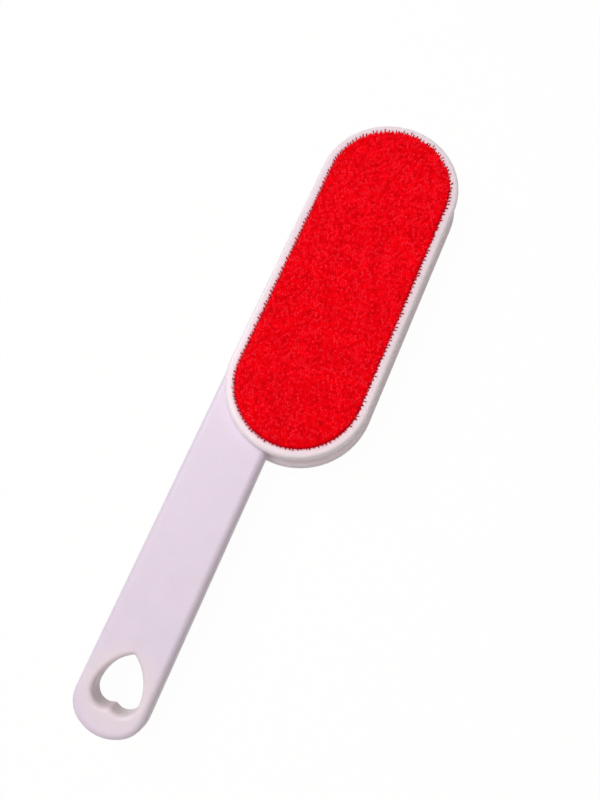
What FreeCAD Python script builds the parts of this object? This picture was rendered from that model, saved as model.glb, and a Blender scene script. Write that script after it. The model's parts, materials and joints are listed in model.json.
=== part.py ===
import FreeCAD, Part
import math
import os

# Folding two-sided lint brush, millimetres.
# Frame: it lies on its rear pad. Z = 0 is the face of that pad, +Z points out of the front pad, and +Y runs
# along the brush from the handle's free end to the head. The origin is below the middle of the opened brush.

Vec = FreeCAD.Vector
same_place = 1e-6           # edges and points closer than this are taken as touching

# ---------------------------------------------------------------- head outline
arc_centre_span = 95.4      # between the centres of the head's two round ends
front_radius = 30.0         # half the front shell's width
rear_overhang = 1.5         # the rear shell stands this far past the front one all round

# ---------------------------------------------------------------- shells
plate_thickness = 2.0
rim_width = 4.0             # front rim, from its outer side to the pad recess
rim_height = 2.6            # rim above the recess floor
rim_outer_round = 1.8
rim_inner_round = 1.1
front_slot_edge_round = 0.6
rear_slot_edge_round = 1.6

# ---------------------------------------------------------------- pads
pile_height = 2.0
cloth_thickness = 0.6
sheet_thickness = 1.0
pad_edge_gap = 0.3          # velour to the rim's inner side
pad_edge_bevel = 0.7        # where the outermost tufts are shorter
sheet_margin = 1.0          # the adhesive sheet is cut back from the pad's edge by this much

# ---------------------------------------------------------------- handle
handle_width = 29.6
handle_thickness = 10.0
handle_edge_round = 2.8
handle_reach = 153.0        # pivot axis to the free end
handle_overhang = 0.85      # handle's outer side stands this far past the front shell's side
end_corner_radius = 10.8    # the free end is a flat arc between two corner arcs
end_arc_radius = 18.2
pivot_rise = 4.2            # pivot axis above the centre of the head's lower round end

# ---------------------------------------------------------------- hanging hole
heart_length = 20.4         # tip to the bottom of the lobes, between the rounded edges
heart_side_margin = 5.5     # lobes to the handle's sides, before the offset
heart_lobe_radius = 5.9
heart_flank_radius = 18.0
heart_tip_round = 0.9
heart_notch_round = 2.2
heart_end_margin = 10.2     # lobes to the handle's free end
heart_offset = 0.6          # from the handle's centre line towards its inner side
heart_edge_round = 2.0

# ---------------------------------------------------------------- closed half of the head
wall_thickness = 2.0
wall_inset = 1.6            # outer wall inside the front shell's outline, which leaves the groove
stop_rib_thickness = 2.0    # rib that the handle's side rests against, open or folded
cross_rib_thickness = 1.2
lip_thickness = 1.2         # front shell's locating lip inside the wall
lip_depth = 1.6

# ---------------------------------------------------------------- bosses and screws
boss_radius = 5.0           # the pivot boss has the same size
spigot_radius = 3.2
spigot_length = 3.0
screw_head_radius = 2.3
screw_head_height = 1.3
screw_head_bevel = 0.5
screw_shank_radius = 1.25
screw_tip_length = 1.4
screw_tip_margin = 1.5      # screw point above the rear plate
cross_slot_width = 0.7
cross_slot_length = 2.6
cross_slot_depth = 0.8

# ---------------------------------------------------------------- fits
handle_face_gap = 0.3       # each side, between the handle and a shell
pivot_gap = 0.05            # radial, boss in the handle's eye
stop_gap = 0.3              # handle's side to the stop rib
lip_gap = 0.15
spigot_gap = 0.1
socket_end_gap = 0.3        # spigot's end to the socket's floor
rib_top_gap = 0.3           # cross ribs to the front shell's lip
pilot_end_gap = 0.3         # screw point to the end of its pilot hole
pilot_gap = 0.05            # radial, screw in its pilot hole
shank_gap = 0.2             # radial, screw through the front shell
screw_head_gap = 0.2        # radial and above the head
eye_chamfer = 0.4

# ---------------------------------------------------------------- derived places
rear_radius = front_radius + rear_overhang
recess_radius = front_radius - rim_width
pad_radius = recess_radius - pad_edge_gap
sheet_radius = pad_radius - sheet_margin
wall_radius = front_radius - wall_inset
chamber_radius = wall_radius - wall_thickness

slot_height = handle_thickness + 2 * handle_face_gap
mid_z = pile_height + cloth_thickness + sheet_thickness + plate_thickness + slot_height / 2
slot_top = mid_z + slot_height / 2
slot_bottom = mid_z - slot_height / 2
recess_floor = slot_top + plate_thickness
screw_seat = recess_floor - screw_head_height - screw_head_gap
screw_point = slot_bottom + screw_tip_margin

pivot_x = -(front_radius + handle_overhang - handle_width / 2)
heart_x = pivot_x + heart_offset
heart_width = handle_width - 2 * heart_side_margin
stop_x = pivot_x + handle_width / 2 + stop_gap
chamber_x = stop_x + stop_rib_thickness

# The brush is centred along Y: the head's far end and the handle's free end are equally far from Y = 0.
pivot_from_head = -arc_centre_span / 2 + pivot_rise
far_end_from_head = arc_centre_span / 2 + rear_radius
free_end_from_head = pivot_from_head - handle_reach
head_y = -(far_end_from_head + free_end_from_head) / 2
pivot_y = head_y + pivot_from_head
free_end_y = head_y + free_end_from_head
upper_arc_y = head_y + arc_centre_span / 2
lower_arc_y = head_y - arc_centre_span / 2

boss_x = (chamber_x + chamber_radius) / 2
boss_places = [(boss_x, upper_arc_y), (boss_x, head_y), (boss_x, lower_arc_y)]
screw_places = boss_places + [(pivot_x, pivot_y)]


# ---------------------------------------------------------------- outlines
def head_oval(radius, z, height):
    """Prism with the head's oval outline, straight sides and two round ends, at the given half width."""
    right_low = Vec(radius, lower_arc_y, z)
    right_high = Vec(radius, upper_arc_y, z)
    left_high = Vec(-radius, upper_arc_y, z)
    left_low = Vec(-radius, lower_arc_y, z)
    edges = [
        Part.LineSegment(right_low, right_high).toShape(),
        Part.Arc(right_high, Vec(0, upper_arc_y + radius, z), left_high).toShape(),
        Part.LineSegment(left_high, left_low).toShape(),
        Part.Arc(left_low, Vec(0, lower_arc_y - radius, z), right_low).toShape(),
    ]
    return Part.Face(Part.Wire(edges)).extrude(Vec(0, 0, height))


def head_distance(point):
    """Distance in plan from the line between the head's two arc centres."""
    nearest_y = min(max(point.y, lower_arc_y), upper_arc_y)
    return math.hypot(point.x, point.y - nearest_y)


def oval_edges(shape, radius, z):
    """Edges of a head-shaped solid that run round the outline of this half width at this height."""
    found = []
    for edge in shape.Edges:
        middle = edge.valueAt((edge.FirstParameter + edge.LastParameter) / 2)
        level = all(abs(vertex.Z - z) < same_place for vertex in edge.Vertexes)
        if level and abs(head_distance(middle) - radius) < same_place:
            found.append(edge)
    return found


def cylinder(radius, place, low_z, high_z):
    return Part.makeCylinder(radius, high_z - low_z, Vec(place[0], place[1], low_z))


def flip_to_rear(shape):
    """Mirror a front piece through the middle of the slot."""
    return shape.mirror(Vec(0, 0, mid_z), Vec(0, 0, 1))


# ---------------------------------------------------------------- shells
def rimmed_plate(radius, slot_edge_round):
    """Front-side plate with its rounded rim and the recess for the pad."""
    body = head_oval(radius, slot_top, plate_thickness + rim_height)
    body = body.cut(head_oval(recess_radius, recess_floor, rim_height))
    rim_top = recess_floor + rim_height
    body = body.makeFillet(rim_outer_round, oval_edges(body, radius, rim_top))
    body = body.makeFillet(rim_inner_round, oval_edges(body, recess_radius, rim_top))
    return body.makeFillet(slot_edge_round, oval_edges(body, radius, slot_top))


def chamber_face(inset, z):
    """Plan of the closed half of the head inside its walls, drawn in by an inset."""
    radius = chamber_radius - inset
    left = chamber_x + inset
    rise = math.sqrt(radius ** 2 - left ** 2)
    slant = (math.asin(left / radius) + math.pi / 2) / 2
    outward = Vec(radius * math.sin(slant), radius * math.cos(slant), 0)
    top_left = Vec(left, upper_arc_y + rise, z)
    top_right = Vec(radius, upper_arc_y, z)
    low_right = Vec(radius, lower_arc_y, z)
    low_left = Vec(left, lower_arc_y - rise, z)
    edges = [
        Part.Arc(top_left, Vec(outward.x, upper_arc_y + outward.y, z), top_right).toShape(),
        Part.LineSegment(top_right, low_right).toShape(),
        Part.Arc(low_right, Vec(outward.x, lower_arc_y - outward.y, z), low_left).toShape(),
        Part.LineSegment(low_left, top_left).toShape(),
    ]
    return Part.Face(Part.Wire(edges))


def locating_lip():
    """Low wall under the front plate that drops inside the rear shell's walls."""
    z = slot_top - lip_depth
    outer = chamber_face(lip_gap, z).extrude(Vec(0, 0, lip_depth))
    inner = chamber_face(lip_gap + lip_thickness, z).extrude(Vec(0, 0, lip_depth))
    return outer.cut(inner)


def front_shell():
    body = rimmed_plate(front_radius, front_slot_edge_round).fuse(locating_lip())
    for place in screw_places:
        body = body.fuse(cylinder(spigot_radius, place, slot_top - spigot_length, recess_floor))
    for place in screw_places:
        hole_radius = screw_shank_radius + shank_gap
        body = body.cut(cylinder(hole_radius, place, slot_top - spigot_length, recess_floor))
        sink_radius = screw_head_radius + screw_head_gap
        body = body.cut(cylinder(sink_radius, place, screw_seat, recess_floor))
    return body.removeSplitter()


def closed_walls():
    """Outer wall round the right half and the stop rib that shuts it off from the slot."""
    ring = head_oval(wall_radius, slot_bottom, slot_height)
    half = Part.makeBox(wall_radius - stop_x, arc_centre_span + 2 * wall_radius, slot_height,
                        Vec(stop_x, lower_arc_y - wall_radius, slot_bottom))
    return ring.common(half).cut(chamber_face(0, slot_bottom).extrude(Vec(0, 0, slot_height)))


def cross_ribs():
    """Low ribs from the stop rib through each boss to the outer wall, below the front shell's lip."""
    height = slot_height - lip_depth - rib_top_gap
    ribs = []
    for place in boss_places:
        corner = Vec(chamber_x, place[1] - cross_rib_thickness / 2, slot_bottom)
        ribs.append(Part.makeBox(chamber_radius - chamber_x, cross_rib_thickness, height, corner))
    return ribs


def rear_shell():
    body = flip_to_rear(rimmed_plate(rear_radius, rear_slot_edge_round)).fuse(closed_walls())
    body = body.fuse(cross_ribs())
    for place in screw_places:
        body = body.fuse(cylinder(boss_radius, place, slot_bottom, slot_top))
    for place in screw_places:
        socket_floor = slot_top - spigot_length - socket_end_gap
        body = body.cut(cylinder(spigot_radius + spigot_gap, place, socket_floor, slot_top))
        pilot_radius = screw_shank_radius + pilot_gap
        body = body.cut(cylinder(pilot_radius, place, screw_point - pilot_end_gap, slot_top))
    return body.removeSplitter()


# ---------------------------------------------------------------- pads
def velour_pad():
    """Front pad: the cloth and its pile as one closed solid."""
    thickness = cloth_thickness + pile_height
    base_z = recess_floor + sheet_thickness
    pad = head_oval(pad_radius, base_z, thickness)
    return pad.makeChamfer(pad_edge_bevel, oval_edges(pad, pad_radius, base_z + thickness))


def adhesive_sheet():
    return head_oval(sheet_radius, recess_floor, sheet_thickness)


# ---------------------------------------------------------------- handle
def handle_face(z):
    """Flat face with a round pivot end and a free end of three arcs that run into each other."""
    radius = handle_width / 2
    corner_x = radius - end_corner_radius
    reach = end_arc_radius - end_corner_radius
    rise = math.sqrt(reach ** 2 - corner_x ** 2)
    corner_y = free_end_y + end_arc_radius - rise
    joint = Vec(corner_x, -rise, 0) * (end_arc_radius / reach) + Vec(0, corner_y + rise, z)
    slant = (math.atan2(corner_x, rise) + math.pi / 2) / 2
    corner_middle = Vec(corner_x, corner_y, z) + Vec(math.sin(slant), -math.cos(slant), 0) * end_corner_radius

    def right(point):
        return Vec(pivot_x + point.x, point.y, point.z)

    def left(point):
        return Vec(pivot_x - point.x, point.y, point.z)

    side_low = Vec(radius, corner_y, z)
    side_high = Vec(radius, pivot_y, z)
    edges = [
        Part.LineSegment(right(side_low), right(side_high)).toShape(),
        Part.Arc(right(side_high), Vec(pivot_x, pivot_y + radius, z), left(side_high)).toShape(),
        Part.LineSegment(left(side_high), left(side_low)).toShape(),
        Part.Arc(left(side_low), left(corner_middle), left(joint)).toShape(),
        Part.Arc(left(joint), Vec(pivot_x, free_end_y, z), right(joint)).toShape(),
        Part.Arc(right(joint), right(corner_middle), right(side_low)).toShape(),
    ]
    return Part.Face(Part.Wire(edges))


def heart_plug():
    """Prism that cuts the heart-shaped hanging hole, its tip towards the head."""
    base_z = mid_z - handle_thickness / 2
    lobes_y = free_end_y + heart_end_margin
    tip = Vec(heart_x, lobes_y + heart_length, base_z)
    lobe_offset = heart_width / 2 - heart_lobe_radius
    lobe = Vec(heart_x + lobe_offset, lobes_y + heart_lobe_radius, base_z)
    notch = Vec(heart_x, lobe.y - math.sqrt(heart_lobe_radius ** 2 - lobe_offset ** 2), base_z)

    # The flank's arc starts at the tip and runs into the lobe's arc with a common tangent.
    to_lobe = lobe - tip
    distance = to_lobe.Length
    inner_radius = heart_flank_radius - heart_lobe_radius
    along = (heart_flank_radius ** 2 - inner_radius ** 2 + distance ** 2) / (2 * distance)
    aside = math.sqrt(heart_flank_radius ** 2 - along ** 2)
    unit = to_lobe / distance
    flank_centre = tip + unit * along + Vec(unit.y, -unit.x, 0) * aside
    joint = flank_centre + (lobe - flank_centre) * (heart_flank_radius / inner_radius)
    flank_middle = middle_of_arc(flank_centre, tip, joint)
    side = Vec(1, -1, 0)
    side.normalize()
    lobe_middle = lobe + side * heart_lobe_radius

    def across(point):
        return Vec(2 * heart_x - point.x, point.y, point.z)

    edges = [
        Part.Arc(tip, flank_middle, joint).toShape(),
        Part.Arc(joint, lobe_middle, notch).toShape(),
        Part.Arc(notch, across(lobe_middle), across(joint)).toShape(),
        Part.Arc(across(joint), across(flank_middle), tip).toShape(),
    ]
    plug = Part.Face(Part.Wire(edges)).extrude(Vec(0, 0, handle_thickness))
    plug = plug.makeFillet(heart_tip_round, upright_edges(plug, tip))
    return plug.makeFillet(heart_notch_round, upright_edges(plug, notch))


def middle_of_arc(centre, start, end):
    """Point halfway along the shorter arc from start to end round a centre."""
    middle = (start - centre) + (end - centre)
    middle.normalize()
    return centre + middle * (start - centre).Length


def upright_edges(shape, foot):
    """Edges that stand on a point of the base."""
    found = []
    for edge in shape.Edges:
        over_foot = all(math.hypot(v.X - foot.x, v.Y - foot.y) < same_place for v in edge.Vertexes)
        if over_foot and edge.Length > 0:
            found.append(edge)
    return found


def face_edges(shape, z):
    """Edges that lie in one level plane."""
    return [edge for edge in shape.Edges
            if all(abs(vertex.Z - z) < same_place for vertex in edge.Vertexes)
            and abs(edge.BoundBox.ZMax - edge.BoundBox.ZMin) < same_place]


def handle():
    low_z = mid_z - handle_thickness / 2
    high_z = mid_z + handle_thickness / 2
    body = handle_face(low_z).extrude(Vec(0, 0, handle_thickness))
    body = body.makeFillet(handle_edge_round, face_edges(body, low_z) + face_edges(body, high_z))
    hole = heart_plug()
    body = body.cut(hole)
    rims = [edge for edge in face_edges(body, low_z) + face_edges(body, high_z)
            if hole.distToShape(edge)[0] < same_place]
    body = body.makeFillet(heart_edge_round, rims)
    eye_radius = boss_radius + pivot_gap
    body = body.cut(cylinder(eye_radius, (pivot_x, pivot_y), low_z, high_z))
    for base_z, point_z in ((low_z, low_z + eye_chamfer), (high_z, high_z - eye_chamfer)):
        bevel = Part.makeCone(eye_radius + eye_chamfer, eye_radius, eye_chamfer,
                              Vec(pivot_x, pivot_y, base_z), Vec(0, 0, point_z - base_z))
        body = body.cut(bevel)
    return body


# ---------------------------------------------------------------- screws
def screw(place):
    """Pan-head self-tapping screw, its head on the front shell's shoulder."""
    head_top = screw_seat + screw_head_height
    corners = [Vec(0, 0, head_top), Vec(0, 0, screw_point),
               Vec(screw_shank_radius, 0, screw_point + screw_tip_length),
               Vec(screw_shank_radius, 0, screw_seat), Vec(screw_head_radius, 0, screw_seat),
               Vec(screw_head_radius, 0, head_top - screw_head_bevel),
               Vec(screw_head_radius - screw_head_bevel, 0, head_top), Vec(0, 0, head_top)]
    body = Part.Face(Part.makePolygon(corners)).revolve(Vec(0, 0, 0), Vec(0, 0, 1), 360)
    for turn in (0, 90):
        slot = Part.makeBox(cross_slot_length, cross_slot_width, cross_slot_depth,
                            Vec(-cross_slot_length / 2, -cross_slot_width / 2, head_top - cross_slot_depth))
        slot.rotate(Vec(0, 0, 0), Vec(0, 0, 1), turn)
        body = body.cut(slot)
    body.translate(Vec(place[0], place[1], 0))
    return body


def shell_screws():
    return Part.makeCompound([screw(place) for place in screw_places])


# ---------------------------------------------------------------- parts
def build():
    front_pad = velour_pad()
    front_sheet = adhesive_sheet()
    return {
        "front_shell": front_shell(),
        "rear_shell": rear_shell(),
        "front_velour": front_pad,
        "rear_velour": flip_to_rear(front_pad),
        "front_adhesive": front_sheet,
        "rear_adhesive": flip_to_rear(front_sheet),
        "handle": handle(),
        "shell_screws": shell_screws(),
    }


os.makedirs("parts", exist_ok=True)
for node, shape in build().items():
    shape.exportStep("parts/" + node + ".step")
    box = shape.BoundBox
    print(node, "solids", len(shape.Solids), "valid", shape.isValid(), "volume", round(shape.Volume, 1),
          "x", round(box.XMin, 2), round(box.XMax, 2), "y", round(box.YMin, 2), round(box.YMax, 2),
          "z", round(box.ZMin, 2), round(box.ZMax, 2))
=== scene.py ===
# %% [markdown]
# # A folding lint brush, dressed
#
# The brush is two thin plastic shells that carry a pad of red velour on each face, with a flat white handle
# that swings in the slot between them. Its construction is already solid geometry, so this lesson adds what
# a solid doesn't hold: the skin of the two plastics, and the pile of the velour, lock by lock.
#
# Everything is in metres and in the frame of the solids: it lies on its rear pad, +Z points out of the front
# pad and +Y runs from the handle to the head.

# %% Load the frame
import json
import math

import bpy
import numpy as np
from mathutils import Matrix, Vector


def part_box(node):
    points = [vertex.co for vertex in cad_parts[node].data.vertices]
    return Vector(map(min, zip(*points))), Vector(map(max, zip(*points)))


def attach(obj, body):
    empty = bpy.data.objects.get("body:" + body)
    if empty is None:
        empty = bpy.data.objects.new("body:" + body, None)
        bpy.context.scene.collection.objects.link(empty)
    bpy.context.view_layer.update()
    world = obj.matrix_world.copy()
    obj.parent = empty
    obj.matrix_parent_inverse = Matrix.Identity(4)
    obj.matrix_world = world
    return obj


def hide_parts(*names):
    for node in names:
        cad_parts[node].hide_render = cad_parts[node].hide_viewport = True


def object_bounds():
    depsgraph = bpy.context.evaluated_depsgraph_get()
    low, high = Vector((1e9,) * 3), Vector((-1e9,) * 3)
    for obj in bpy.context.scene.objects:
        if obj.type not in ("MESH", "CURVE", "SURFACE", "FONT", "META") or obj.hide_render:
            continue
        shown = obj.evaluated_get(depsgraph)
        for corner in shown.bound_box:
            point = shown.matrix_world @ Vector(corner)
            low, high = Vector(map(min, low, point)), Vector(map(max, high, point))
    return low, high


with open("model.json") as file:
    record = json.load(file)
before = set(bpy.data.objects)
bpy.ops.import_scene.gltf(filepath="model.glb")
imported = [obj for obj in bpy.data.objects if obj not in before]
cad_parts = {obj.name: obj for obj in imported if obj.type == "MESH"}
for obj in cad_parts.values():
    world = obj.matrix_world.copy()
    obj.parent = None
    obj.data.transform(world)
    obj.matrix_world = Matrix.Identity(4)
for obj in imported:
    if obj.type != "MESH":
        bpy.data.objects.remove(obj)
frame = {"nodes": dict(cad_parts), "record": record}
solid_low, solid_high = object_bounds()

MM = 0.001
nodes = frame["nodes"]
print("solids:", ", ".join(sorted(nodes)))
print("length", round((solid_high.y - solid_low.y) / MM, 1), "mm")

# %% [markdown]
# ## Measures read from the solids
#
# The pads are ovals: two half circles and the straight sides between them. Their radius, their two arc
# centres and their heights all come from the box of the pad's own solid, so the pile always fits the recess
# that it lies in, also when the solids change.

# %% Measure a pad
def pad_measures(node):
    """Radius, arc centres and the two levels of an oval pad, in millimetres."""
    low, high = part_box(node)
    radius = (high.x - low.x) / 2 / MM
    return {
        "radius": radius,
        "low_y": low.y / MM + radius,
        "high_y": high.y / MM - radius,
        "bottom": low.z / MM,
        "top": high.z / MM,
    }


front_pad = pad_measures("front_velour")
rear_pad = pad_measures("rear_velour")
handle_low, handle_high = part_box("handle")
middle_z = (handle_low.z + handle_high.z) / 2
print("pad radius", round(front_pad["radius"], 2), "mm")
print("middle of the slot at z", round(middle_z / MM, 2), "mm")

# %% [markdown]
# ## Colours and nodes
#
# Colours are written as sRGB hex values, the way a paint chart gives them. Blender's sockets want linear
# light, so one function converts them. A second small function adds any node: plain values go on its
# sockets, and an output that is passed in is linked instead. Sockets go by name, and by number where names
# repeat: a Mix node keeps a set of sockets for every kind of data, and its colours are inputs 6 and 7 and
# output 2.

# %% Helpers for every material
shell_hex = "F7EBF3"


def linear(hex_colour):
    """Linear RGBA of an sRGB hex colour such as "F2E6F0"."""
    channels = [int(hex_colour[i:i + 2], 16) / 255 for i in (0, 2, 4)]
    return tuple(c / 12.92 if c <= 0.04045 else ((c + 0.055) / 1.055) ** 2.4 for c in channels) + (1.0,)


def add_node(tree, kind, inputs=None, stops=None, **settings):
    """Add one node with its settings. Inputs hold values or the outputs to link; stops fill a colour ramp."""
    node = tree.nodes.new(kind)
    for name, value in settings.items():
        setattr(node, name, value)
    for name, value in (inputs or {}).items():
        if isinstance(value, bpy.types.NodeSocket):
            tree.links.new(value, node.inputs[name])
        else:
            node.inputs[name].default_value = value
    if stops:
        elements = node.color_ramp.elements
        while len(elements) < len(stops):
            elements.new(0.5)
        for element, (position, colour) in zip(elements, stops):
            element.position = position
            element.color = colour
    return node


def new_material(name):
    """An empty material, its node tree and its output node."""
    material = bpy.data.materials.new(name)
    material.use_nodes = True
    material.node_tree.nodes.clear()
    output = material.node_tree.nodes.new("ShaderNodeOutputMaterial")
    return material, material.node_tree, output


def scale_of(millimetres):
    """Noise scale whose features are this many millimetres across, on coordinates in metres."""
    return 1 / (millimetres * MM)


print("white plastic in linear light:", [round(c, 3) for c in linear(shell_hex)])

# %% [markdown]
# ## Moulded skin
#
# Both plastics are injection moulded, so both have the same kinds of mark at different strengths: a slow
# waviness where thick and thin sections cooled unevenly, a fine grain printed off the steel of the mould, a
# polish that handling leaves on the edges, and now and then a dark speck of burnt resin.
#
# They could be painted on with textures, but noise in the solid's own millimetres needs no unwrapping and
# stays put when the handle turns. The Bevel node finds the edges: where its rounded normal leaves the true
# one, the surface is a corner.

# %% Nodes that both plastics share
wave_mm = 14                # length of the slow waves
smear_mm = 6                # size of the patches that are a little duller or deeper
fleck_mm = 9                # spacing of the dark specks
fleck_core, fleck_rim = 0.012, 0.022    # a speck fades between these radii, as shares of the spacing
worn_reach = 0.7 * MM       # an edge's polish is this wide
worn_starts, worn_full = 0.995, 0.90    # cosines of 6 and 26 degrees between the rounded and the true normal
ridge_height = 0.05 * MM


def moulded_skin(tree, colour, fleck_colour, grain_mm, grain_depth_mm, wave_depth_mm, roughness,
                 extra_height=None):
    """Colour, roughness and normal sockets of an injection-moulded surface."""
    place = add_node(tree, "ShaderNodeTexCoord").outputs["Object"]
    wave = add_node(tree, "ShaderNodeTexNoise", {"Vector": place, "Scale": scale_of(wave_mm), "Detail": 2.0})
    grain = add_node(tree, "ShaderNodeTexNoise", {
        "Vector": place, "Scale": scale_of(grain_mm), "Detail": 3.0})
    smear = add_node(tree, "ShaderNodeTexNoise", {
        "Vector": place, "Scale": scale_of(smear_mm), "Detail": 5.0})
    fleck = add_node(tree, "ShaderNodeTexVoronoi", {
        "Vector": place, "Scale": scale_of(fleck_mm), "Randomness": 1.0})
    fleck_here = add_node(tree, "ShaderNodeMapRange", {
        "Value": fleck.outputs["Distance"], "From Min": fleck_core, "From Max": fleck_rim,
        "To Min": 0.55, "To Max": 0.0})

    rounded = add_node(tree, "ShaderNodeBevel", {"Radius": worn_reach}, samples=4)
    true_normal = add_node(tree, "ShaderNodeNewGeometry").outputs["Normal"]
    aligned = add_node(tree, "ShaderNodeVectorMath", {0: rounded.outputs["Normal"], 1: true_normal},
                       operation="DOT_PRODUCT")
    edge = add_node(tree, "ShaderNodeMapRange", {
        "Value": aligned.outputs["Value"], "From Min": worn_starts, "From Max": worn_full,
        "To Min": 0.0, "To Max": 1.0})

    mottle = add_node(tree, "ShaderNodeMapRange", {
        "Value": smear.outputs["Fac"], "From Min": 0.3, "From Max": 0.7, "To Min": 0.965, "To Max": 1.0})
    body = add_node(tree, "ShaderNodeVectorMath", {0: colour[:3], "Scale": mottle.outputs["Result"]},
                    operation="SCALE")
    tinted = add_node(tree, "ShaderNodeMix", {
        0: fleck_here.outputs["Result"], 6: body.outputs["Vector"], 7: fleck_colour}, data_type="RGBA")

    rough_noise = add_node(tree, "ShaderNodeMapRange", {
        "Value": smear.outputs["Fac"], "From Min": 0.25, "From Max": 0.75,
        "To Min": roughness - 0.05, "To Max": roughness + 0.07})
    polish = add_node(tree, "ShaderNodeMath", {
        0: edge.outputs["Result"], 1: -0.08, 2: rough_noise.outputs["Result"]}, operation="MULTIPLY_ADD")

    waved = add_node(tree, "ShaderNodeBump", {
        "Height": wave.outputs["Fac"], "Distance": wave_depth_mm * MM, "Strength": 1.0})
    grained = add_node(tree, "ShaderNodeBump", {
        "Height": grain.outputs["Fac"], "Distance": grain_depth_mm * MM, "Strength": 1.0,
        "Normal": waved.outputs["Normal"]})
    normal = grained.outputs["Normal"]
    if extra_height is not None:
        normal = add_node(tree, "ShaderNodeBump", {
            "Height": extra_height(tree, place), "Distance": ridge_height, "Strength": 1.0,
            "Normal": normal}).outputs["Normal"]
    return tinted.outputs[2], polish.outputs["Value"], normal


print("a wave", wave_mm, "mm long needs noise of scale", round(scale_of(wave_mm), 1))

# %% [markdown]
# ## Shells: high-impact polystyrene
#
# The two shells are a cool white polystyrene from a polished mould. It refracts strongly for a plastic,
# 1.59, and keeps a soft gloss, so the rolled rim draws a bright line along the side that faces the light.
# That line is what tells the eye that the rim is round.
#
# White plastic also lets light a little way in and out again, which softens its shadows: the shader does
# that by subsurface scattering. The pink that red light from the pile throws onto the rim is painted on as a
# faint red that fades out over the rim, following the distance from the pad's oval.

# %% Shell material
red_bounce_reach = 3.2         # painted red reflection of the pile fades out over the rim this far from the pad, in millimetres
red_bounce_share = 0.18        # of the colour, right beside the pile
# colour of the painted red reflection
red_bounce_hex = "FF4070"
see_in = 0.35               # share of the light that goes into a white plastic and comes out beside it
see_in_depth = 1.2 * MM
see_in_reach = (1.0, 0.75, 0.8)     # red goes furthest


def painted_red_bounce(tree, colour):
    """The colour with a painted red reflection of the pile round the pads, strongest against the pile."""
    place = add_node(tree, "ShaderNodeTexCoord").outputs["Object"]
    spread = add_node(tree, "ShaderNodeSeparateXYZ", {0: place}).outputs
    not_above = add_node(tree, "ShaderNodeMath", {0: spread["Y"], 1: front_pad["high_y"] * MM},
                         operation="MINIMUM")
    nearest = add_node(tree, "ShaderNodeMath", {0: not_above.outputs["Value"], 1: front_pad["low_y"] * MM},
                       operation="MAXIMUM")
    along = add_node(tree, "ShaderNodeMath", {0: spread["Y"], 1: nearest.outputs["Value"]},
                     operation="SUBTRACT")
    offset = add_node(tree, "ShaderNodeCombineXYZ", {"X": spread["X"], "Y": along.outputs["Value"]})
    reach = add_node(tree, "ShaderNodeVectorMath", {0: offset.outputs["Vector"]}, operation="LENGTH")
    amount = add_node(tree, "ShaderNodeMapRange", {
        "Value": reach.outputs["Value"], "From Min": front_pad["radius"] * MM,
        "From Max": (front_pad["radius"] + red_bounce_reach) * MM, "To Min": red_bounce_share, "To Max": 0.0})
    tinted = add_node(tree, "ShaderNodeMix", {
        0: amount.outputs["Result"], 6: colour, 7: linear(red_bounce_hex)}, data_type="RGBA")
    return tinted.outputs[2]


def polystyrene():
    """Glossy cool white shells."""
    material, tree, output = new_material("moulded_polystyrene_white")
    colour, roughness, normal = moulded_skin(
        tree, linear(shell_hex), linear("8C8088"), grain_mm=0.5, grain_depth_mm=0.004, wave_depth_mm=0.03,
        roughness=0.30)
    # the shells' colour carries the painted red reflection of the pile
    skin = add_node(tree, "ShaderNodeBsdfPrincipled", {
        "Base Color": painted_red_bounce(tree, colour), "Roughness": roughness, "Normal": normal, "IOR": 1.59,
        "Subsurface Weight": see_in, "Subsurface Scale": see_in_depth, "Subsurface Radius": see_in_reach})
    tree.links.new(skin.outputs["BSDF"], output.inputs["Surface"])
    return material


shell_plastic = polystyrene()
print(shell_plastic.name, "has", len(shell_plastic.node_tree.nodes), "nodes")

# %% [markdown]
# ## Handle: polypropylene
#
# The handle is moulded in one piece from polypropylene, which is waxier and a little more lavender than the
# shells. Its faces are satin, with a grain that spreads the highlight, and a fine ridge runs round its side
# at mid height, where the two halves of the mould met. Round the hanging hole the colour turns lighter and
# warmer: painted fill light for the hole's shaded walls.

# %% Handle material
handle_hex = "EADDEE"
warm_fill_hex = "F3E6E5"        # painted warm fill light: a lighter, warmer colour round the hanging hole, whose walls lie in shade
warm_fill_share = 0.70          # of the colour, at the hanging hole
warm_fill_core, warm_fill_rim = 9 * MM, 17 * MM     # it fades between these distances from the hole's middle
ridge_half_width = 0.05 * MM
hang_hole = next(mount for mount in frame["record"]["mounts"] if mount["name"] == "hang_hole")


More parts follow.
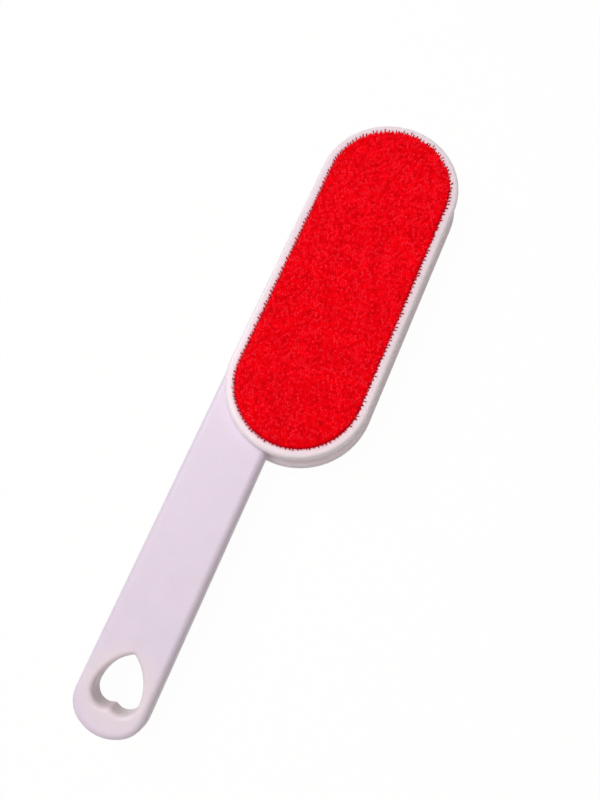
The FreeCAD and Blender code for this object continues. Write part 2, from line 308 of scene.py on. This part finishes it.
def polypropylene():
    """Satin handle with the mould's parting line round its side."""
    material, tree, output = new_material("moulded_polypropylene_white")

    def parting_line(tree, place):
        """Height of a ridge 0.1 mm wide on the plane halfway up the handle."""
        level = add_node(tree, "ShaderNodeSeparateXYZ", {0: place}).outputs["Z"]
        on_plane = add_node(tree, "ShaderNodeMath", {0: level, 1: middle_z, 2: ridge_half_width},
                            operation="COMPARE")
        return on_plane.outputs["Value"]

    colour, roughness, normal = moulded_skin(
        tree, linear(handle_hex), linear("7D7280"), grain_mm=0.6, grain_depth_mm=0.012, wave_depth_mm=0.05,
        roughness=0.38, extra_height=parting_line)
    place = add_node(tree, "ShaderNodeTexCoord").outputs["Object"]
    # painted warm fill light, strongest at the hanging hole
    from_hole = add_node(tree, "ShaderNodeVectorMath", {0: place, 1: hang_hole["pos_m"]},
                         operation="DISTANCE")
    warm_fill_amount = add_node(tree, "ShaderNodeMapRange", {
        "Value": from_hole.outputs["Value"], "From Min": warm_fill_core, "From Max": warm_fill_rim,
        "To Min": warm_fill_share, "To Max": 0.0})
    warm_filled = add_node(tree, "ShaderNodeMix", {
        0: warm_fill_amount.outputs["Result"], 6: colour, 7: linear(warm_fill_hex)}, data_type="RGBA")
    skin = add_node(tree, "ShaderNodeBsdfPrincipled", {
        "Base Color": warm_filled.outputs[2], "Roughness": roughness, "Normal": normal, "IOR": 1.49,
        "Subsurface Weight": see_in, "Subsurface Scale": see_in_depth, "Subsurface Radius": see_in_reach})
    tree.links.new(skin.outputs["BSDF"], output.inputs["Surface"])
    return material


handle_plastic = polypropylene()
print(handle_plastic.name, "has", len(handle_plastic.node_tree.nodes), "nodes")

# %% [markdown]
# ## Hidden hardware
#
# The screws are zinc-plated steel under the pads, and the pads are held by sheets of white acrylic foam.
# Both are out of sight, but a brush that is taken apart shows them, so each gets its own finish: a metal
# with a mottled protective film, and a matt foam with closed cells.

# %% Screw and foam materials
def zinc_plated_steel():
    """Bright screw metal with a slightly mottled passivated film."""
    material, tree, output = new_material("zinc_plated_steel")
    place = add_node(tree, "ShaderNodeTexCoord").outputs["Object"]
    film = add_node(tree, "ShaderNodeTexNoise", {"Vector": place, "Scale": scale_of(0.8), "Detail": 3.0})
    tint = add_node(tree, "ShaderNodeMix", {
        0: film.outputs["Fac"], 6: linear("C3C6CA"), 7: linear("D8D6CF")}, data_type="RGBA")
    rough = add_node(tree, "ShaderNodeMapRange", {
        "Value": film.outputs["Fac"], "From Min": 0.3, "From Max": 0.7, "To Min": 0.24, "To Max": 0.40})
    metal = add_node(tree, "ShaderNodeBsdfPrincipled", {
        "Base Color": tint.outputs[2], "Metallic": 1.0, "Roughness": rough.outputs["Result"]})
    tree.links.new(metal.outputs["BSDF"], output.inputs["Surface"])
    return material


def acrylic_foam():
    """Matt white foam whose closed cells dimple the cut edge."""
    material, tree, output = new_material("acrylic_foam_sheet")
    place = add_node(tree, "ShaderNodeTexCoord").outputs["Object"]
    cells = add_node(tree, "ShaderNodeTexVoronoi", {"Vector": place, "Scale": scale_of(0.4)})
    tint = add_node(tree, "ShaderNodeMix", {
        0: cells.outputs["Distance"], 6: linear("F1EFEA"), 7: linear("DAD7D0")}, data_type="RGBA")
    dimples = add_node(tree, "ShaderNodeBump", {"Height": cells.outputs["Distance"], "Distance": 0.1 * MM})
    foam = add_node(tree, "ShaderNodeBsdfPrincipled", {
        "Base Color": tint.outputs[2], "Roughness": 0.85, "Normal": dimples.outputs["Normal"]})
    tree.links.new(foam.outputs["BSDF"], output.inputs["Surface"])
    return material


screw_metal, foam_sheet = zinc_plated_steel(), acrylic_foam()
print("hidden finishes:", screw_metal.name, "and", foam_sheet.name)

# %% [markdown]
# Each finish goes on its own solids. The two pads get none here, because the cloth and the pile take their
# place further on.

# %% Put the finishes on the solids
finishes = {
    shell_plastic: ["front_shell", "rear_shell"],
    handle_plastic: ["handle"],
    screw_metal: ["shell_screws"],
    foam_sheet: ["front_adhesive", "rear_adhesive"],
}
for material, names in finishes.items():
    for name in names:
        nodes[name].data.materials.clear()
        nodes[name].data.materials.append(material)
    print(material.name, "on", ", ".join(names))

# %% [markdown]
# ## Velour: how the pile is built
#
# Lint velour is a woven cloth with tufts of stiff nylon pulled through it. The tufts stand in staggered
# rows, each fans out at the top, and all of them lean towards the head's far end, which is what makes the
# brush lift lint one way and drop it the other.
#
# Blender could grow this as hair, but hair isn't a mesh and is lost when the part is exported. Displacing a
# flat sheet gives bumps and no fibres. So the pile is written straight into arrays. Single filaments are too
# fine to show, so each piece drawn is a lock: a few dozen of them that cling together, narrow at the root
# and open at the end.

# %% Sizes of the weave, in millimetres
tuft_pitch = 1.20           # along a row
row_pitch = 1.08            # from row to row
cloth_thickness = 0.6
loom_unevenness = 0.09      # how far a tuft strays from its place in the rows
tuft_inset = 0.38           # the outermost tufts stand this far inside the pad's outline
nap_inset = 0.65            # and by this share more where they lean outward, or less where they lean inward
locks_per_tuft = 9
lock_width = 0.60           # at the open end
tuft_width = 0.40           # spread of the roots
fan_width = 0.58            # spread of the ends
pile_lean = math.radians(22)
nap_turn = math.radians(10)  # the lean points this far from +Y towards +X
width_spread = 0.2          # a lock is wider or narrower by up to this share
height_spread = 0.12        # the shortest lock is this share below the full pile
tuft_dome = 0.14            # a tuft's outer locks end this share lower than its middle
edge_fall = 0.35            # the outermost tufts stand this share lower
edge_splay = 0.28           # and lean outward by this much more
edge_band = 1.6             # both over this distance from the rim

random = np.random.default_rng(23)
round_ends = math.pi * front_pad["radius"] ** 2
print("about", round(round_ends / tuft_pitch / row_pitch), "tufts in the round ends alone")

# %% [markdown]
# A place is inside the pad if it is nearer to the line between the two arc centres than the pad's radius.
# The same distance also says how near the rim a tuft stands, and its direction says which way is outward.

# %% Where tufts stand
def outward(x, y, pad):
    """Distance of each place from the pad's spine, and the unit direction away from it."""
    along = y - np.clip(y, pad["low_y"], pad["high_y"])
    reach = np.hypot(x, along)
    safe = np.maximum(reach, 1e-6)
    return reach, x / safe, along / safe


def tuft_places(pad):
    """Staggered rows of tufts, with a little of the loom's unevenness."""
    rows = np.arange(pad["low_y"] - pad["radius"], pad["high_y"] + pad["radius"], row_pitch)
    columns = np.arange(-pad["radius"], pad["radius"] + tuft_pitch, tuft_pitch)
    x, y = np.meshgrid(columns, rows)
    x = x + (np.arange(len(rows)) % 2 * tuft_pitch / 2)[:, None]
    x = (x + random.normal(0, loom_unevenness, x.shape)).ravel()
    y = (y + random.normal(0, loom_unevenness, y.shape)).ravel()
    reach, _, out_y = outward(x, y, pad)
    keep = reach < pad["radius"] - tuft_inset * (1 + nap_inset * out_y)
    return x[keep], y[keep]


pad_length = front_pad["high_y"] - front_pad["low_y"] + 2 * front_pad["radius"]
print("rows of tufts:", math.ceil(pad_length / row_pitch))

# %% [markdown]
# A lock of filaments starts from one point in the cloth and ends in three corners, so it is a tetrahedron
# that stands on its tip. The open end turns at random about the lock's own axis and tilts a little, so that
# the ends catch the light differently. Each lock also takes its own small cell of a UV map, so that a baked
# copy of the part keeps its colour from root to end.

# %% Locks from roots and ends
end_tilt = 0.22             # how unevenly a lock is cut, in millimetres
strip_corners = ((0.06, 0.08), (0.94, 0.08), (0.5, 0.95))   # of a face in its strip, clear of the next face


def locks(roots, ends, widths):
    """Points and faces of locks, all in millimetres: three corners at the end, then the root."""
    count = len(roots)
    turn = random.uniform(0, 2 * math.pi, count)
    corners = []
    for k in range(3):
        angle = turn + k * 2 * math.pi / 3
        cut = -end_tilt * random.uniform(0, 1, count)
        ring = np.stack([np.cos(angle) * widths / 2, np.sin(angle) * widths / 2, cut], axis=1)
        corners.append(ends + ring)
    points = np.stack(corners + [roots], axis=1).reshape(-1, 3)
    first = np.arange(count)[:, None] * 4
    pattern = np.array([[0, 1, 2], [1, 0, 3], [2, 1, 3], [0, 2, 3]])
    faces = (first[:, :, None] + pattern[None, :, :]).reshape(-1, 3)
    return points, faces


def lock_map(count):
    """UV corners of the locks: a square cell each, split into four strips."""
    side = math.ceil(math.sqrt(count))
    cell = np.arange(count)
    left, bottom = cell % side, cell // side
    corners = np.zeros((count, 4, 3, 2))
    for k in range(4):
        for corner, (across, up) in enumerate(strip_corners):
            corners[:, k, corner, 0] = (left + (k + across) / 4) / side
            corners[:, k, corner, 1] = (bottom + up) / side
    return corners.reshape(-1, 2)


def array_mesh(name, points, faces):
    """A mesh object from arrays of points, in millimetres, and triangles."""
    mesh = bpy.data.meshes.new(name)
    mesh.vertices.add(len(points))
    mesh.vertices.foreach_set("co", (points * MM).astype(np.float32).ravel())
    mesh.loops.add(len(faces) * 3)
    mesh.loops.foreach_set("vertex_index", faces.astype(np.int32).ravel())
    mesh.polygons.add(len(faces))
    mesh.polygons.foreach_set("loop_start", np.arange(0, len(faces) * 3, 3, dtype=np.int32))
    mesh.update(calc_edges=True)
    thing = bpy.data.objects.new(name, mesh)
    bpy.context.scene.collection.objects.link(thing)
    return thing


def write_values(thing, name, values):
    """Store one number per point, for the material to read."""
    thing.data.attributes.new(name, "FLOAT", "POINT").data.foreach_set("value", values.astype(np.float32))


print("a hundred locks take", len(lock_map(100)), "UV corners")

# %% [markdown]
# Lit by its true facets, a lock is dark on most of its sides, and a field of them turns black. Real
# filaments are clear enough to pass light on to each other. Vertex normals bent towards the open side of the
# pile give the same even glow, and they stay with the mesh when it is exported.

# %% Soften the shading
upright_share = 1.6         # how much of a vertex normal points straight out of the pad
outward_share = 1.3         # and sideways over the rim, for the outermost locks


def soft_normals(thing, points, side, over_rim):
    """Give each corner a normal between its own side of the lock, the pad's face and the way over the rim."""
    corners = points.reshape(-1, 4, 3)
    middle = corners[:, :3].mean(axis=1, keepdims=True)
    away = corners - middle
    away[:, 3] = 0
    away[:, :, 2] = 0
    away /= np.maximum(np.linalg.norm(away, axis=2, keepdims=True), 1e-9)
    away[:, :, :2] += outward_share * over_rim[:, None, :]
    away[:, :, 2] = side * upright_share
    normals = away.reshape(-1, 3)
    normals /= np.linalg.norm(normals, axis=1, keepdims=True)
    thing.data.normals_split_custom_set_from_vertices(normals.tolist())


print("normals stand", round(math.degrees(math.atan(upright_share))), "degrees up from the pad")

# %% [markdown]
# The rear pad is the front one seen in a mirror, so one function builds both: it works out the pile upwards
# from the cloth and then flips the heights if the pad faces down. Flipping turns the faces inside out, so
# their corners are read in the other order.

# %% Grow a pile
def facing(points, faces, pad, upward):
    """Points measured up from the cloth's back, set on the pad that faces up or down."""
    placed = points.copy()
    if upward:
        placed[:, 2] = pad["bottom"] + points[:, 2]
        return placed, faces
    placed[:, 2] = pad["top"] - points[:, 2]
    return placed, faces[:, ::-1]


def full_pile(pad):
    """Height of the pile above its cloth."""
    return pad["top"] - pad["bottom"] - cloth_thickness


def pile_piece(name, pad, upward, tuft_x, tuft_y, fan, lean, length, width, per_tuft, shade, over_rim):
    """One mesh of locks: fan and lean are the ends' offsets in millimetres."""
    count = len(tuft_x) * per_tuft
    x, y = np.repeat(tuft_x, per_tuft), np.repeat(tuft_y, per_tuft)
    swirl = random.uniform(0, 2 * math.pi, count)
    spread = np.sqrt(random.uniform(0, 1, count))
    root_offset = tuft_width / 2 * spread
    roots = np.stack([x + root_offset * np.cos(swirl), y + root_offset * np.sin(swirl),
                      np.full(count, cloth_thickness)], axis=1)
    end_offset = fan * spread
    share = (1 - height_spread * random.uniform(0, 1, count)) * (1 - tuft_dome * spread ** 2)
    heights = cloth_thickness + np.repeat(length, per_tuft) * share
    ends = np.stack([x + end_offset * np.cos(swirl) + np.repeat(lean[0], per_tuft),
                     y + end_offset * np.sin(swirl) + np.repeat(lean[1], per_tuft), heights], axis=1)
    widths = width * random.uniform(1 - width_spread, 1 + width_spread, count)
    points, faces = locks(roots, ends, widths)
    placed, turned = facing(points, faces, pad, upward)
    piece = array_mesh(name, placed, turned)
    corners = lock_map(count)
    if not upward:
        corners = corners.reshape(-1, 3, 2)[:, ::-1].reshape(-1, 2)
    piece.data.uv_layers.new(name="OFBake").data.foreach_set("uv", corners.astype(np.float32).ravel())
    soft_normals(piece, placed, 1.0 if upward else -1.0, np.repeat(over_rim, per_tuft, axis=0))
    write_values(piece, "along", np.tile([1, 1, 1, 0], count))
    write_values(piece, "tuft_shade", np.repeat(np.repeat(shade, per_tuft), 4))
    write_values(piece, "from_middle", np.repeat(spread, 4))
    return piece


def pile(name, pad, upward):
    """The standing tufts of one pad."""
    x, y = tuft_places(pad)
    reach, out_x, out_y = outward(x, y, pad)
    near_edge = np.clip(1 - (pad["radius"] - reach) / edge_band, 0, 1)
    full = full_pile(pad)
    length = full * (1 - edge_fall * near_edge ** 2)
    splay = edge_splay * near_edge
    nap = full * math.tan(pile_lean)
    lean = (nap * math.sin(nap_turn) + splay * out_x, nap * math.cos(nap_turn) + splay * out_y)
    over_rim = np.stack([out_x, out_y], axis=1) * (near_edge ** 2)[:, None]
    return pile_piece(name, pad, upward, x, y, fan_width, lean, length, lock_width, locks_per_tuft,
                      random.uniform(0, 1, len(x)), over_rim)


print("the nap carries the ends", round(full_pile(front_pad) * math.tan(pile_lean), 2), "mm along")

# %% [markdown]
# ## The cut edge
#
# The pad is stamped out of the cloth, so the last row of tufts has no neighbour to lean on. It splays out
# over the rolled rim in separate ends, which still follow the nap. Their colour is darker than the pile's and
# darkest at the ends: painted shade, for ends in shadow that show against white with nothing lit behind them.

# %% Fringe tufts
fringe_pitch = 1.60
fringe_stray = 0.22         # a tuft strays from its place by up to this share of the pitch
fringe_reach = 1.75         # the longest end lies this far outside its root
fringe_shortest = 0.5       # and the shortest this share of it
fringe_heights = (0.75, 0.95)           # least and greatest, as shares of the full pile
fringe_locks = 4
fringe_nap = 0.45           # they lean along the nap by this share of their reach
nap_average, nap_swing = 0.55, 0.45     # all of it at the far end, almost none at the near end
fringe_inset = 0.45         # their roots stand this far inside the pad's outline
fringe_fan = 0.16           # spread of one tuft's ends
fringe_width = 0.42         # of one lock


def rim_length(pad):
    """The way round the pad's outline."""
    return 2 * (pad["high_y"] - pad["low_y"] + math.pi * pad["radius"])


def fringe(name, pad, upward):
    """Splayed tufts round the rim, one every fringe pitch."""
    straight = pad["high_y"] - pad["low_y"]
    arc = math.pi * pad["radius"]
    around = rim_length(pad)
    count = round(around / fringe_pitch)
    stray = random.uniform(-fringe_stray, fringe_stray, count)
    travel = (np.arange(count) + stray) * around / count % around
    on_right = np.clip(travel, 0, straight)
    on_far_end = np.clip(travel - straight, 0, arc)
    on_left = np.clip(travel - straight - arc, 0, straight)
    on_near_end = np.clip(travel - 2 * straight - arc, 0, arc)
    angle = (on_far_end + on_near_end) / pad["radius"]
    out = np.stack([np.cos(angle), np.sin(angle)], axis=1)
    root_radius = pad["radius"] - fringe_inset
    x = root_radius * out[:, 0]
    y = pad["low_y"] + on_right - on_left + root_radius * out[:, 1]
    reach = fringe_reach * random.uniform(fringe_shortest, 1.0, count)
    nap = fringe_nap * (nap_average + nap_swing * out[:, 1])
    lean = (reach * (out[:, 0] + nap * math.sin(nap_turn)),
            reach * (out[:, 1] + nap * math.cos(nap_turn)))
    length = full_pile(pad) * random.uniform(*fringe_heights, count)
    return pile_piece(name, pad, upward, x, y, fringe_fan, lean, length, fringe_width, fringe_locks,
                      random.uniform(0, 1, count), out)


print("fringe tufts round a pad:", round(rim_length(front_pad) / fringe_pitch))

# %% [markdown]
# ## Cloth and dense pile underneath
#
# Below the open ends the pile is too dense to see into, so more locks there would be hidden and would only
# cost time. Two closed slabs stand for it: the woven cloth, which reaches the rim and scallops a little from
# tuft to tuft, and on it the packed lower half of the pile.

# %% Closed oval slabs
arc_steps = 90              # for each rounded end
packed_share = 0.55         # of the pile's height, too dense to see into
packed_scallop = 0.15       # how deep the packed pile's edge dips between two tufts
cloth_spare = 0.10          # the cloth's cut edge reaches this far past the pad's solid
cloth_scallop = 0.05


def oval_slab(name, pad, upward, levels, wave):
    """Closed slab from levels of height and inset; the wave's depth makes its edge scalloped."""
    points = []
    for height, inset in levels:
        for centre_y, start in ((pad["high_y"], 0.0), (pad["low_y"], math.pi)):
            for k in range(arc_steps + 1):
                angle = start + k * math.pi / arc_steps
                dent = wave * (1 - math.cos(angle * pad["radius"] / fringe_pitch * 2 * math.pi)) / 2
                radius = pad["radius"] - inset - dent
                points.append((radius * math.cos(angle), centre_y + radius * math.sin(angle), height))
    count = 2 * (arc_steps + 1)
    last = (len(levels) - 1) * count
    middle_y = (pad["low_y"] + pad["high_y"]) / 2
    points += [(0.0, middle_y, levels[0][0]), (0.0, middle_y, levels[-1][0])]
    faces = []
    for k in range(count):
        after = (k + 1) % count
        for level in range(len(levels) - 1):
            a, b = level * count + k, level * count + after
            c, d = a + count, b + count
            faces += [(a, b, d), (a, d, c)]
        faces.append((after, k, last + count))
        faces.append((last + k, last + after, last + count + 1))
    placed, turned = facing(np.array(points), np.array(faces), pad, upward)
    return array_mesh(name, placed, turned)


def ground_cloth(name, pad, upward):
    """The woven cloth, its cut edge rounded over."""
    levels = [(0.0, -cloth_spare), (cloth_thickness * 0.6, -cloth_spare), (cloth_thickness, 0.10)]
    return oval_slab(name, pad, upward, levels, cloth_scallop)


def packed_pile(name, pad, upward):
    """The lower half of the pile, sunk a little into the cloth and drawn in at the top, where tufts splay."""
    full = full_pile(pad)
    top = cloth_thickness + full * packed_share
    levels = [(cloth_thickness * 0.9, 0.25), (cloth_thickness + full * 0.25, 0.35), (top, 0.9)]
    return oval_slab(name, pad, upward, levels, packed_scallop)


print("packed pile", round(full_pile(front_pad) * packed_share, 2), "mm high, open ends above it")

# %% [markdown]
# ## Velour finish: dyed nylon
#
# The filaments are nylon dyed through in a hard, clean red. Their skins are slightly glossy, but there are
# so many, at so many angles, that the pile looks matt with small bright points. So roughness is high and the
# white shine is nearly off. The colour runs from a slightly deeper red at the root, which is painted shade,
# to full red at the end, and the middles of some tufts get a lighter red towards their ends, a painted
# highlight for those bright points. A little red glow stands for light that goes from filament to filament.

# %% Pile material
passed_on = 0.14            # light that clear filaments pass on to each other, which a solid lock can't
dye_patch_mm = 8            # size of the patches where the dye took a little deeper


def dyed_nylon(name, root_hex, middle_hex, end_hex, painted_glint_hex):
    """Red locks, their darker ramp stops painted shade, with a painted highlight on some tufts."""
    material, tree, output = new_material(name)
    along = add_node(tree, "ShaderNodeAttribute", attribute_name="along").outputs["Fac"]
    shade = add_node(tree, "ShaderNodeAttribute", attribute_name="tuft_shade").outputs["Fac"]
    from_middle = add_node(tree, "ShaderNodeAttribute", attribute_name="from_middle").outputs["Fac"]
    place = add_node(tree, "ShaderNodeTexCoord").outputs["Object"]
    # painted shade: the ramp's darker stops deepen the pile's root a little, and the fringe's ends much more
    length_ramp = add_node(tree, "ShaderNodeValToRGB", {"Fac": along}, stops=[
        (0.0, linear(root_hex)), (0.45, linear(middle_hex)), (0.8, linear(end_hex))])
    # painted highlight: some tufts' middles turn lighter towards their ends, standing for glints on the
    # filaments
    lit = add_node(tree, "ShaderNodeMapRange", {
        "Value": shade, "From Min": 0.45, "From Max": 1.0, "To Min": 0.0, "To Max": 1.0})
    middle = add_node(tree, "ShaderNodeMapRange", {
        "Value": from_middle, "From Min": 0.95, "From Max": 0.35, "To Min": 0.0, "To Max": 1.0})
    lit_middle = add_node(tree, "ShaderNodeMath", {0: lit.outputs["Result"], 1: middle.outputs["Result"]},
                          operation="MULTIPLY")
    at_end = add_node(tree, "ShaderNodeMath", {0: lit_middle.outputs["Value"], 1: along},
                      operation="MULTIPLY")
    with_painted_glint = add_node(tree, "ShaderNodeMix", {
        0: at_end.outputs["Value"], 6: length_ramp.outputs["Color"], 7: linear(painted_glint_hex)}, data_type="RGBA")
    dye = add_node(tree, "ShaderNodeTexNoise", {
        "Vector": place, "Scale": scale_of(dye_patch_mm), "Detail": 3.0})
    patch = add_node(tree, "ShaderNodeMapRange", {
        "Value": dye.outputs["Fac"], "From Min": 0.35, "From Max": 0.65, "To Min": 0.88, "To Max": 1.0})
    deep = add_node(tree, "ShaderNodeMapRange", {
        "Value": shade, "From Min": 0.0, "From Max": 0.4, "To Min": 0.72, "To Max": 1.0})
    depth = add_node(tree, "ShaderNodeMath", {0: patch.outputs["Result"], 1: deep.outputs["Result"]},
                     operation="MULTIPLY")
    dyed = add_node(tree, "ShaderNodeVectorMath", {
        0: with_painted_glint.outputs[2], "Scale": depth.outputs["Value"]}, operation="SCALE")
    rough = add_node(tree, "ShaderNodeMapRange", {
        "Value": shade, "From Min": 0.0, "From Max": 1.0, "To Min": 0.62, "To Max": 0.48})
    fibre = add_node(tree, "ShaderNodeBsdfPrincipled", {
        "Base Color": dyed.outputs["Vector"], "Roughness": rough.outputs["Result"], "IOR": 1.53,
        "Specular IOR Level": 0.02, "Emission Color": linear("FF0014"), "Emission Strength": passed_on})
    tree.links.new(fibre.outputs["BSDF"], output.inputs["Surface"])
    return material


wave_radians = 20           # a Wave texture of scale one runs through this many radians in a unit of length


def woven_ground(name, low_hex, high_hex):
    """Red cloth with broad soft bands both ways, each six tufts wide, where the yarn ran tight or slack."""
    material, tree, output = new_material(name)
    place = add_node(tree, "ShaderNodeTexCoord").outputs["Object"]
    weft = add_node(tree, "ShaderNodeTexWave", {
        "Vector": place, "Scale": scale_of(row_pitch) / wave_radians}, bands_direction="Y")
    warp = add_node(tree, "ShaderNodeTexWave", {
        "Vector": place, "Scale": scale_of(tuft_pitch) / wave_radians}, bands_direction="X")
    crossed = add_node(tree, "ShaderNodeMath", {0: weft.outputs["Fac"], 1: warp.outputs["Fac"]},
                       operation="MAXIMUM")
    tint = add_node(tree, "ShaderNodeMix", {
        0: crossed.outputs["Value"], 6: linear(low_hex), 7: linear(high_hex)}, data_type="RGBA")
    threads = add_node(tree, "ShaderNodeBump", {"Height": crossed.outputs["Value"], "Distance": 0.15 * MM})
    cloth = add_node(tree, "ShaderNodeBsdfPrincipled", {
        "Base Color": tint.outputs[2], "Roughness": 0.8, "Normal": threads.outputs["Normal"],
        "Specular IOR Level": 0.05, "Emission Color": linear("FF0010"), "Emission Strength": passed_on})
    tree.links.new(cloth.outputs["BSDF"], output.inputs["Surface"])
    return material


# last colour: the painted highlight on the middles of some tufts
nylon_pile = dyed_nylon("dyed_nylon_pile", "F4000C", "FF000C", "FF0010", "FF2C42")
# the fringe: deep red to burgundy towards the ends, painted shade
nylon_edge = dyed_nylon("shaded_nylon_edge", "E80014", "C40028", "980034", "B00040")
ground = woven_ground("woven_polyester_ground", "B4001C", "CC0020")
dense = woven_ground("packed_nylon_pile", "D8000C", "F00012")
print("velour finishes:", ", ".join(m.name for m in (nylon_pile, nylon_edge, ground, dense)))

# %% [markdown]
# Each pad is made of four pieces: the cloth, the packed pile, the standing tufts and the fringe. They
# ride on the head. The cloth takes the place of the pad's solid, which is hidden.

# %% Lay both pads
for side, pad, upward in (("front", front_pad, True), ("rear", rear_pad, False)):
    cloth = ground_cloth(side + "_velour_cloth", pad, upward)
    packed = packed_pile(side + "_velour_packed_pile", pad, upward)
    standing = pile(side + "_velour_pile", pad, upward)
    splayed = fringe(side + "_velour_fringe", pad, upward)
    for piece, material in ((cloth, ground), (packed, dense), (standing, nylon_pile), (splayed, nylon_edge)):
        piece.data.materials.append(material)
        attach(piece, "head")
    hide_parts(side + "_velour")
    print(side, "pile faces", len(standing.data.polygons), "fringe faces", len(splayed.data.polygons))

# %% [markdown]
# ## Floor, light and camera
#
# The brush lies on a plain white table under a slightly warm, even sky and three soft lamps: a key high on
# the left, a larger one overhead and a weak strip low on the left that draws the rim's bright line. Together
# they light a level surface at about strength one, so a colour renders about as it is written.
#
# To the eye, to gloss and through glass the floor is mostly a white glow, which keeps it even, and the small
# part that is real paper keeps the brush's shadow. Light on its way to the brush meets only the paper. The
# sky makes the same difference: it is white where it is seen or reflected, and weaker where it only lights.

# %% Floor and world
floor_half = 3.0            # half the table's side, in metres
glow_share = 0.93
glow_strength = 1.04
sky_level = 0.27            # where it only lights


def looked_at(tree):
    """One for a ray from the eye, from gloss or through glass, and zero for light on its way to a surface."""
    path = add_node(tree, "ShaderNodeLightPath").outputs
    seen = add_node(tree, "ShaderNodeMath", {0: path["Is Camera Ray"], 1: path["Is Glossy Ray"]},
                    operation="MAXIMUM")
    seen_too = add_node(tree, "ShaderNodeMath", {0: seen.outputs["Value"], 1: path["Is Transmission Ray"]},
                        operation="MAXIMUM")
    return seen_too.outputs["Value"]


def white_floor():
    """Matt paper mixed with a white glow that only the eye, gloss and glass see."""
    material, tree, output = new_material("white_table")
    share = add_node(tree, "ShaderNodeMath", {0: looked_at(tree), 1: glow_share}, operation="MULTIPLY")
    paper = add_node(tree, "ShaderNodeBsdfDiffuse", {"Color": linear("BCBAB6")})
    glow = add_node(tree, "ShaderNodeEmission", {"Color": (1, 1, 1, 1), "Strength": glow_strength})
    both = add_node(tree, "ShaderNodeMixShader", {
        0: share.outputs["Value"], 1: paper.outputs["BSDF"], 2: glow.outputs["Emission"]})
    tree.links.new(both.outputs["Shader"], output.inputs["Surface"])
    return material


floor_mesh = bpy.data.meshes.new("floor")
floor_mesh.from_pydata([(x * floor_half, y * floor_half, solid_low.z) for x, y in
                        ((-1, -1), (1, -1), (1, 1), (-1, 1))], [], [(0, 1, 2, 3)])
floor = bpy.data.objects.new("floor", floor_mesh)
bpy.context.scene.collection.objects.link(floor)
floor.data.materials.append(white_floor())

world = bpy.data.worlds.new("even_sky")
bpy.context.scene.world = world
world.use_nodes = True
world.node_tree.nodes.clear()
sky_seen = looked_at(world.node_tree)
strength = add_node(world.node_tree, "ShaderNodeMapRange", {
    "Value": sky_seen, "To Min": sky_level, "To Max": 1.0})
warmth = add_node(world.node_tree, "ShaderNodeMix", {
    0: sky_seen, 6: linear("FFFBEE"), 7: (1, 1, 1, 1)}, data_type="RGBA")
sky = add_node(world.node_tree, "ShaderNodeBackground", {
    "Color": warmth.outputs[2], "Strength": strength.outputs["Result"]})
add_node(world.node_tree, "ShaderNodeOutputWorld", {"Surface": sky.outputs["Background"]})
print("floor at z", round(solid_low.z / MM, 2), "mm, sky level", sky_level)

# %% [markdown]
# A square lamp of power P spreads P / pi^2 / d^2 over a matt surface that faces it at distance d. Turned
# round, that gives the power that a wanted level needs, so the lamp can be moved without the picture
# changing its exposure.

# %% Soft lamps
lamp_distance = 0.9         # metres


def soft_lamp(name, direction, size, level, colour):
    """Square lamp aimed at the brush, which adds this level of light to a level surface."""
    toward = Vector(direction).normalized()
    light = bpy.data.lights.new(name, "AREA")
    light.shape = "SQUARE"
    light.size = size
    light.color = linear(colour)[:3]
    light.energy = level * math.pi ** 2 * lamp_distance ** 2 / toward.z
    lamp = bpy.data.objects.new(name, light)
    bpy.context.scene.collection.objects.link(lamp)
    lamp.location = toward * lamp_distance
    lamp.rotation_euler = toward.to_track_quat("Z", "Y").to_euler()
    return lamp


key = soft_lamp("key_softbox", (-0.5, 0.1, 1.0), size=0.45, level=0.29, colour="FAF8FF")
overhead = soft_lamp("overhead_softbox", (0.0, -0.2, 1.0), size=0.9, level=0.32, colour="FFFAF8")
edge = soft_lamp("edge_strip", (-1.0, 0.3, 0.70), size=0.22, level=0.10, colour="FFFFFF")
for lamp in (key, overhead, edge):
    print(lamp.name, round(lamp.data.energy, 2), "W")

# %% [markdown]
# The camera looks almost straight down on the middle of the brush, from a little towards the handle, and the
# brush lies across the picture from lower left to upper right. It stands fairly close, so the head narrows
# slightly with distance.

# %% Camera
camera_place = Vector((31.56, -40.31, 251.75)) * MM
camera_aim = Vector((1.72, 7.07, 10.9)) * MM
picture_turn = math.radians(23.65)      # the picture's top lies this far to the left of +Y

camera_data = bpy.data.cameras.new("camera")
camera_data.lens = 27.0
camera_data.sensor_width = 36.0
camera_data.sensor_fit = "AUTO"
camera_data.clip_start = 0.01
camera = bpy.data.objects.new("camera", camera_data)
bpy.context.scene.collection.objects.link(camera)
back = (camera_place - camera_aim).normalized()
top = Vector((-math.sin(picture_turn), math.cos(picture_turn), 0))
right = top.cross(back).normalized()
up = back.cross(right)
camera.matrix_world = Matrix.Translation(camera_place) @ Matrix((right, up, back)).transposed().to_4x4()
bpy.context.scene.camera = camera
bpy.context.scene.view_settings.view_transform = "Standard"
print("camera at", [round(c / MM, 1) for c in camera_place], "mm")
